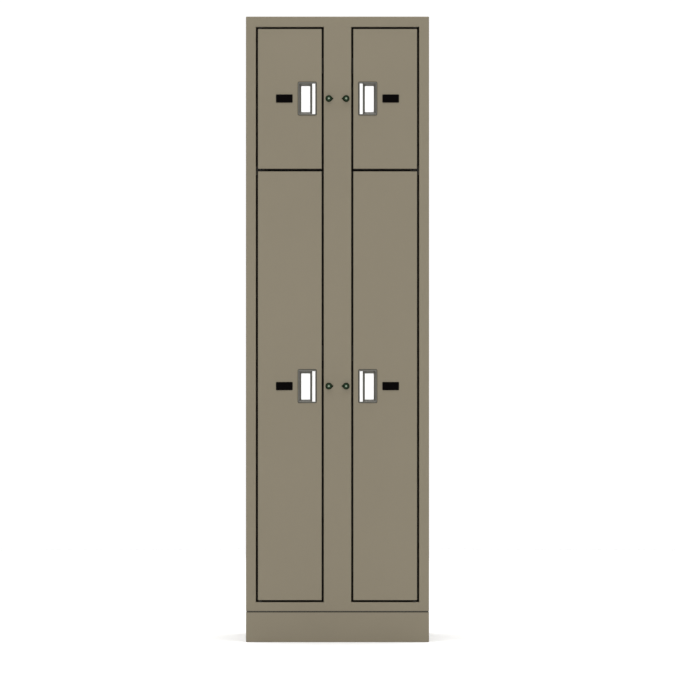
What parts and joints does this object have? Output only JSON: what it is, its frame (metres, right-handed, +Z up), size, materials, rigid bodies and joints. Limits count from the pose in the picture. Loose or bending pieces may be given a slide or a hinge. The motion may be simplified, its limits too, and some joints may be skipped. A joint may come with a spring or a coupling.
{
  "type": "evidence storage locker",
  "caption": "Tall steel locker in two columns, short doors over tall ones, with recessed pulls, number plates and push-button locks in the mullion.",
  "frame": {"origin": "on the floor, at the middle of the footprint, with the buttons' reach in front counted", "axes": "+X to the right as one faces the doors, +Y from the doors to the back, +Z up"},
  "size_m": [0.6096, 0.6226, 2.0828],
  "materials": {
    "paint": "taupe powder coat, fine orange peel",
    "pull_stainless": "satin stainless steel",
    "plate": "bare black plate",
    "lock_bezel": "black oxide",
    "lock_button": "green enamel on steel",
    "lock_nickel": "satin nickel",
    "lock_zinc": "die-cast zinc, as cast",
    "pivot_steel": "zinc-plated steel",
    "magnet": "dark ferrite magnet with steel poles"
  },
  "bodies": {
    "cabinet": {"left_stile": "paint", "right_stile": "paint", "mullion": "paint", "top_rail": "paint", "bottom_rail": "paint", "left_side_panel": "paint", "right_side_panel": "paint", "back_panel": "paint", "top_cap": "paint", "floor_panel": "paint", "left_shelf": "paint", "right_shelf": "paint", "centre_partition": "paint", "base_plinth": "paint", "left_top_pivot": "pivot_steel", "left_middle_pivot": "pivot_steel", "left_bottom_pivot": "pivot_steel", "right_top_pivot": "pivot_steel", "right_middle_pivot": "pivot_steel", "right_bottom_pivot": "pivot_steel", "upper_left_magnetic_catch": "magnet", "upper_right_magnetic_catch": "magnet", "lower_left_magnetic_catch": "magnet", "lower_right_magnetic_catch": "magnet", "upper_left_lock_case": "lock_zinc", "upper_right_lock_case": "lock_zinc", "lower_left_lock_case": "lock_zinc", "lower_right_lock_case": "lock_zinc", "upper_left_lock_bezel": "lock_bezel", "upper_right_lock_bezel": "lock_bezel", "lower_left_lock_bezel": "lock_bezel", "lower_right_lock_bezel": "lock_bezel"},
    "upper_left_door": {"upper_left_door_shell": "paint", "upper_left_door_liner": "paint", "upper_left_pull": "pull_stainless", "upper_left_number_plate": "plate"},
    "upper_right_door": {"upper_right_door_shell": "paint", "upper_right_door_liner": "paint", "upper_right_pull": "pull_stainless", "upper_right_number_plate": "plate"},
    "lower_left_door": {"lower_left_door_shell": "paint", "lower_left_door_liner": "paint", "lower_left_pull": "pull_stainless", "lower_left_number_plate": "plate"},
    "lower_right_door": {"lower_right_door_shell": "paint", "lower_right_door_liner": "paint", "lower_right_pull": "pull_stainless", "lower_right_number_plate": "plate"},
    "upper_left_button": {"upper_left_lock_button": "lock_button"},
    "upper_right_button": {"upper_right_lock_button": "lock_button"},
    "lower_left_button": {"lower_left_lock_button": "lock_button"},
    "lower_right_button": {"lower_right_lock_button": "lock_button"},
    "upper_left_plug": {"upper_left_key_plug": "lock_nickel"},
    "upper_right_plug": {"upper_right_key_plug": "lock_nickel"},
    "lower_left_plug": {"lower_left_key_plug": "lock_nickel"},
    "lower_right_plug": {"lower_right_key_plug": "lock_nickel"},
    "upper_left_bolt": {"upper_left_lock_bolt": "pivot_steel"},
    "upper_right_bolt": {"upper_right_lock_bolt": "pivot_steel"},
    "lower_left_bolt": {"lower_left_lock_bolt": "pivot_steel"},
    "lower_right_bolt": {"lower_right_lock_bolt": "pivot_steel"}
  },
  "joints": [
    {"name": "upper_left_door_hinge", "type": "hinge", "parent": "cabinet", "child": "upper_left_door", "pos_m": [-0.2572, -0.2908, 1.57401], "axis": [0, 0, -1], "range_deg": [0, 110]},
    {"name": "upper_right_door_hinge", "type": "hinge", "parent": "cabinet", "child": "upper_right_door", "pos_m": [0.2572, -0.2908, 1.57401], "axis": [0, 0, 1], "range_deg": [0, 110]},
    {"name": "lower_left_door_hinge", "type": "hinge", "parent": "cabinet", "child": "lower_left_door", "pos_m": [-0.2572, -0.2908, 0.13811], "axis": [0, 0, -1], "range_deg": [0, 110]},
    {"name": "lower_right_door_hinge", "type": "hinge", "parent": "cabinet", "child": "lower_right_door", "pos_m": [0.2572, -0.2908, 0.13811], "axis": [0, 0, 1], "range_deg": [0, 110]},
    {"name": "upper_left_button_push", "type": "slide", "parent": "cabinet", "child": "upper_left_button", "axis": [0, 1, 0], "range_m": [0, 0.01], "stiffness_N_per_m": 300, "springref_m": -0.004},
    {"name": "upper_right_button_push", "type": "slide", "parent": "cabinet", "child": "upper_right_button", "axis": [0, 1, 0], "range_m": [0, 0.01], "stiffness_N_per_m": 300, "springref_m": -0.004},
    {"name": "lower_left_button_push", "type": "slide", "parent": "cabinet", "child": "lower_left_button", "axis": [0, 1, 0], "range_m": [0, 0.01], "stiffness_N_per_m": 300, "springref_m": -0.004},
    {"name": "lower_right_button_push", "type": "slide", "parent": "cabinet", "child": "lower_right_button", "axis": [0, 1, 0], "range_m": [0, 0.01], "stiffness_N_per_m": 300, "springref_m": -0.004},
    {"name": "upper_left_key_turn", "type": "hinge", "parent": "upper_left_button", "child": "upper_left_plug", "pos_m": [-0.02884, -0.3113, 1.80975], "axis": [0, 1, 0], "range_deg": [0, 90]},
    {"name": "upper_right_key_turn", "type": "hinge", "parent": "upper_right_button", "child": "upper_right_plug", "pos_m": [0.02884, -0.3113, 1.80975], "axis": [0, 1, 0], "range_deg": [0, 90]},
    {"name": "lower_left_key_turn", "type": "hinge", "parent": "lower_left_button", "child": "lower_left_plug", "pos_m": [-0.02884, -0.3113, 0.85249], "axis": [0, 1, 0], "range_deg": [0, 90]},
    {"name": "lower_right_key_turn", "type": "hinge", "parent": "lower_right_button", "child": "lower_right_plug", "pos_m": [0.02884, -0.3113, 0.85249], "axis": [0, 1, 0], "range_deg": [0, 90]},
    {"name": "upper_left_bolt_throw", "type": "slide", "parent": "cabinet", "child": "upper_left_bolt", "axis": [-1, 0, 0], "range_m": [0, 0.01]},
    {"name": "upper_right_bolt_throw", "type": "slide", "parent": "cabinet", "child": "upper_right_bolt", "axis": [1, 0, 0], "range_m": [0, 0.01]},
    {"name": "lower_left_bolt_throw", "type": "slide", "parent": "cabinet", "child": "lower_left_bolt", "axis": [-1, 0, 0], "range_m": [0, 0.01]},
    {"name": "lower_right_bolt_throw", "type": "slide", "parent": "cabinet", "child": "lower_right_bolt", "axis": [1, 0, 0], "range_m": [0, 0.01]}
  ],
  "couplings": [
    {"joint": "upper_left_bolt_throw", "follows": "upper_left_button_push", "ratio": 1},
    {"joint": "upper_right_bolt_throw", "follows": "upper_right_button_push", "ratio": 1},
    {"joint": "lower_left_bolt_throw", "follows": "lower_left_button_push", "ratio": 1},
    {"joint": "lower_right_bolt_throw", "follows": "lower_right_button_push", "ratio": 1}
  ]
}
